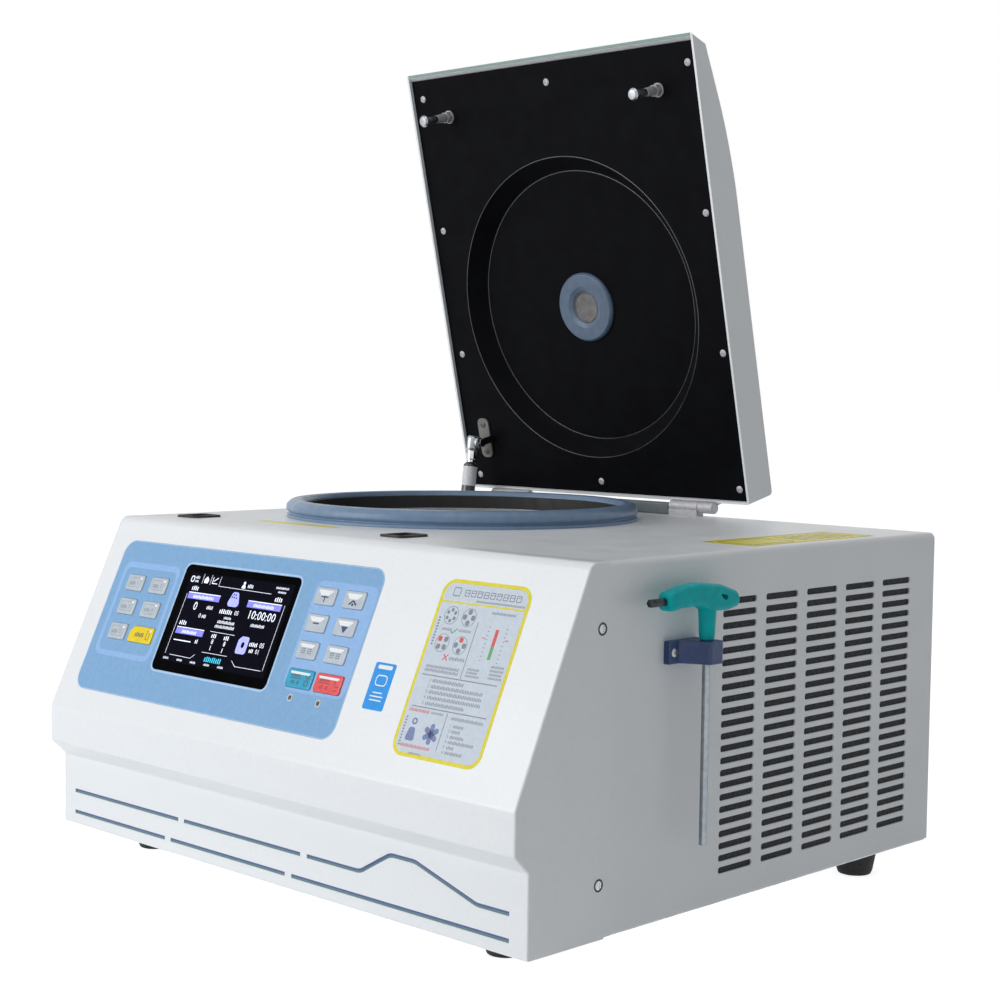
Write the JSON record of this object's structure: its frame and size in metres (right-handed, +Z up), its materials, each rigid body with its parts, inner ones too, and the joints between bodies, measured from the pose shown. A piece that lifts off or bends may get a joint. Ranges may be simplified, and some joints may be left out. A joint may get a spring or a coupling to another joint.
{
  "type": "refrigerated centrifuge",
  "caption": "Refrigerated bench centrifuge with an open hinged lid, swing bucket rotor in a cooled chamber, sloping control panel and clipped T-handled hexagon key.",
  "frame": {"origin": "on the bench plane under the middle of the cabinet, with the feet standing on z = 0", "axes": "+X to the cabinet's right as its user sees it, +Y to its back, +Z up"},
  "size_m": [0.649, 0.6037, 0.7915],
  "materials": {
    "cabinet_paint": "satin powder coat",
    "fascia_shell": "satin moulded",
    "zinc_sheet": "zinc plated",
    "foot_rubber": "matte",
    "chamber_steel": "brushed stainless",
    "foam": "rigid foam",
    "armour_steel": "primed",
    "seal_rubber": "soft satin",
    "motor_metal": "cast",
    "black_enamel": "gloss enamel",
    "fin_aluminium": "mill finish",
    "copper": "drawn copper",
    "black_plastic": "semi gloss moulded",
    "board": "solder mask",
    "display_glass": "glossy",
    "overlay_foil": "fine textured foil",
    "light_plastic": "moulded",
    "dark_plastic": "moulded",
    "hinge_steel": "plated",
    "bright_steel": "polished",
    "bracket_plastic": "moulded",
    "window_glass": "clear",
    "rotor_aluminium": "anodised",
    "bucket_aluminium": "anodised",
    "tool_steel": "black oxide",
    "grip_plastic": "soft moulded",
    "key_grey": "glossy dome",
    "key_yellow": "glossy dome",
    "key_teal": "glossy dome",
    "key_red": "glossy dome"
  },
  "bodies": {
    "cabinet": {"cover": "cabinet_paint", "front_fascia": "fascia_shell", "rear_panel": "cabinet_paint", "chassis": "zinc_sheet", "feet": "foot_rubber", "bowl": "chamber_steel", "bowl_insulation": "foam", "armour_ring": "armour_steel", "seal_ring": "seal_rubber", "drive_motor": "motor_metal", "motor_rubbers": "foot_rubber", "compressor": "black_enamel", "condenser": "fin_aluminium", "fan_shroud": "zinc_sheet", "refrigerant_tubing": "copper", "motor_inverter": "zinc_sheet", "inlet_module": "black_plastic", "control_board": "board", "display_module": "display_glass", "panel_overlay": "overlay_foil", "latch_inserts": "light_plastic", "lock_housings": "zinc_sheet", "hinge_rail": "dark_plastic", "hinge_brackets": "hinge_steel", "key_bracket": "bracket_plastic"},
    "lid": {"lid_shell": "cabinet_paint", "lid_liner": "black_plastic", "hub_ring": "seal_rubber", "lid_window": "window_glass", "lock_strikers": "bright_steel", "liner_screws": "bright_steel", "lid_brackets": "hinge_steel"},
    "strut_cylinder": {"strut_cylinder": "black_enamel"},
    "strut_rod": {"strut_rod": "bright_steel"},
    "rotor": {"drive_shaft": "hinge_steel", "rotor_head": "rotor_aluminium", "rotor_nut": "black_plastic"},
    "bucket_1": {"bucket_1": "bucket_aluminium"},
    "bucket_2": {"bucket_2": "bucket_aluminium"},
    "bucket_3": {"bucket_3": "bucket_aluminium"},
    "bucket_4": {"bucket_4": "bucket_aluminium"},
    "fan": {"fan_blades": "dark_plastic"},
    "lock_slide": {"lock_slide": "hinge_steel"},
    "power_rocker": {"power_rocker": "black_plastic"},
    "hex_key": {"hex_key_blade": "tool_steel", "hex_key_handle": "grip_plastic"},
    "key_left_1": {"key_left_1": "key_grey"},
    "key_left_2": {"key_left_2": "key_grey"},
    "key_left_3": {"key_left_3": "key_grey"},
    "key_left_4": {"key_left_4": "key_grey"},
    "key_left_5": {"key_left_5": "key_grey"},
    "key_program": {"key_program": "key_yellow"},
    "key_right_1": {"key_right_1": "key_grey"},
    "key_right_2": {"key_right_2": "key_grey"},
    "key_right_3": {"key_right_3": "key_grey"},
    "key_right_4": {"key_right_4": "key_grey"},
    "key_right_5": {"key_right_5": "key_grey"},
    "key_right_6": {"key_right_6": "key_grey"},
    "key_start": {"key_start": "key_teal"},
    "key_stop": {"key_stop": "key_red"}
  },
  "joints": [
    {"name": "lid_hinge", "type": "hinge", "parent": "cabinet", "child": "lid", "pos_m": [0, 0.277, 0.3245], "axis": [1, 0, 0], "range_deg": [0, 76.75], "stiffness_Nm_per_rad": 5, "springref_deg": -63.03},
    {"name": "strut_swing", "type": "hinge", "parent": "lid", "child": "strut_cylinder", "pos_m": [-0.274, 0.24962, 0.38319], "axis": [1, 0, 0], "range_deg": [-72, 2]},
    {"name": "strut_stroke", "type": "slide", "parent": "strut_cylinder", "child": "strut_rod", "axis": [0, 0.1199, 0.9928], "range_m": [-0.002, 0.078]},
    {"name": "rotor_spin", "type": "hinge", "parent": "cabinet", "child": "rotor", "pos_m": [-0.105, 0.067, 0.225], "axis": [0, 0, 1], "continuous": true},
    {"name": "bucket_1_swing", "type": "hinge", "parent": "rotor", "child": "bucket_1", "pos_m": [-0.01, 0.067, 0.225], "axis": [0, -1, 0], "range_deg": [0, 90]},
    {"name": "bucket_2_swing", "type": "hinge", "parent": "rotor", "child": "bucket_2", "pos_m": [-0.105, 0.162, 0.225], "axis": [1, 0, 0], "range_deg": [0, 90]},
    {"name": "bucket_3_swing", "type": "hinge", "parent": "rotor", "child": "bucket_3", "pos_m": [-0.2, 0.067, 0.225], "axis": [0, 1, 0], "range_deg": [0, 90]},
    {"name": "bucket_4_swing", "type": "hinge", "parent": "rotor", "child": "bucket_4", "pos_m": [-0.105, -0.028, 0.225], "axis": [-1, 0, 0], "range_deg": [0, 90]},
    {"name": "fan_spin", "type": "hinge", "parent": "cabinet", "child": "fan", "pos_m": [0.23, 0.1075, 0.1625], "axis": [1, 0, 0], "continuous": true},
    {"name": "lock_travel", "type": "slide", "parent": "cabinet", "child": "lock_slide", "axis": [1, 0, 0], "range_m": [0, 0.014]},
    {"name": "rocker_tilt", "type": "hinge", "parent": "cabinet", "child": "power_rocker", "pos_m": [-0.23, 0.281, 0.098], "axis": [1, 0, 0], "range_deg": [-14, 0]},
    {"name": "hex_key_lift", "type": "slide", "parent": "cabinet", "child": "hex_key", "axis": [0, 0, 1], "range_m": [0, 0.17]},
    {"name": "key_left_1_press", "type": "slide", "parent": "cabinet", "child": "key_left_1", "axis": [0, 0.9101, -0.4144], "range_m": [0, 0.0006], "stiffness_N_per_m": 800},
    {"name": "key_left_2_press", "type": "slide", "parent": "cabinet", "child": "key_left_2", "axis": [0, 0.9101, -0.4144], "range_m": [0, 0.0006], "stiffness_N_per_m": 800},
    {"name": "key_left_3_press", "type": "slide", "parent": "cabinet", "child": "key_left_3", "axis": [0, 0.9101, -0.4144], "range_m": [0, 0.0006], "stiffness_N_per_m": 800},
    {"name": "key_left_4_press", "type": "slide", "parent": "cabinet", "child": "key_left_4", "axis": [0, 0.9101, -0.4144], "range_m": [0, 0.0006], "stiffness_N_per_m": 800},
    {"name": "key_left_5_press", "type": "slide", "parent": "cabinet", "child": "key_left_5", "axis": [0, 0.9101, -0.4144], "range_m": [0, 0.0006], "stiffness_N_per_m": 800},
    {"name": "key_program_press", "type": "slide", "parent": "cabinet", "child": "key_program", "axis": [0, 0.9101, -0.4144], "range_m": [0, 0.0006], "stiffness_N_per_m": 800},
    {"name": "key_right_1_press", "type": "slide", "parent": "cabinet", "child": "key_right_1", "axis": [0, 0.9101, -0.4144], "range_m": [0, 0.0006], "stiffness_N_per_m": 800},
    {"name": "key_right_2_press", "type": "slide", "parent": "cabinet", "child": "key_right_2", "axis": [0, 0.9101, -0.4144], "range_m": [0, 0.0006], "stiffness_N_per_m": 800},
    {"name": "key_right_3_press", "type": "slide", "parent": "cabinet", "child": "key_right_3", "axis": [0, 0.9101, -0.4144], "range_m": [0, 0.0006], "stiffness_N_per_m": 800},
    {"name": "key_right_4_press", "type": "slide", "parent": "cabinet", "child": "key_right_4", "axis": [0, 0.9101, -0.4144], "range_m": [0, 0.0006], "stiffness_N_per_m": 800},
    {"name": "key_right_5_press", "type": "slide", "parent": "cabinet", "child": "key_right_5", "axis": [0, 0.9101, -0.4144], "range_m": [0, 0.0006], "stiffness_N_per_m": 800},
    {"name": "key_right_6_press", "type": "slide", "parent": "cabinet", "child": "key_right_6", "axis": [0, 0.9101, -0.4144], "range_m": [0, 0.0006], "stiffness_N_per_m": 800},
    {"name": "key_start_press", "type": "slide", "parent": "cabinet", "child": "key_start", "axis": [0, 0.9101, -0.4144], "range_m": [0, 0.0006], "stiffness_N_per_m": 800},
    {"name": "key_stop_press", "type": "slide", "parent": "cabinet", "child": "key_stop", "axis": [0, 0.9101, -0.4144], "range_m": [0, 0.0006], "stiffness_N_per_m": 800}
  ],
  "couplings": [
    {"joint": "strut_swing", "follows": "lid_hinge", "ratio": -0.8827},
    {"joint": "strut_stroke", "follows": "lid_hinge", "m_per_rad": 0.05491}
  ]
}
